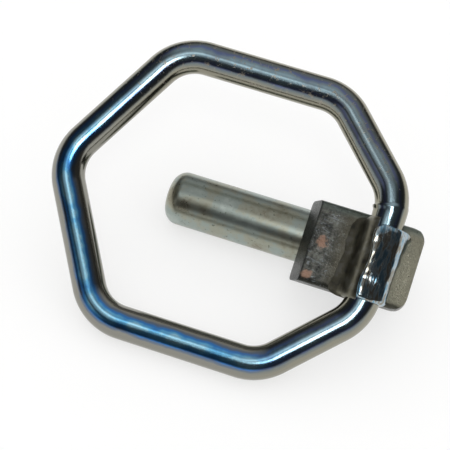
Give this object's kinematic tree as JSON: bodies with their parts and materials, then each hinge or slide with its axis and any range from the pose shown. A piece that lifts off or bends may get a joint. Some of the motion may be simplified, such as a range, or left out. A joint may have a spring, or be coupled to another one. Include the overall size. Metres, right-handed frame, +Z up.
{
  "type": "tine pin",
  "caption": "Round steel pin welded to a flat head bar that carries a bent rod ring for gripping and pulling the pin out.",
  "frame": {"origin": "middle of the footprint on the floor, with the pin and one long side of the ring resting on it", "axes": "+X from the pin's nose to its head, +Z up, the ring leans up towards +Y"},
  "size_m": [0.1344, 0.0956, 0.0652],
  "materials": {
    "pin_zinc": "satin zinc plate",
    "bar_zinc": "dull zinc plate on hot rolled flat bar, scratched",
    "ring_zinc": "bright blue passivated zinc plate",
    "weld_zinc": "zinc plate on a rippled weld bead"
  },
  "bodies": {
    "root": {"pin": "pin_zinc", "head_bar": "bar_zinc", "ring": "ring_zinc", "ring_weld_outer": "weld_zinc", "ring_weld_inner": "weld_zinc", "pin_weld_left": "weld_zinc", "pin_weld_right": "weld_zinc"}
  },
  "joints": []
}
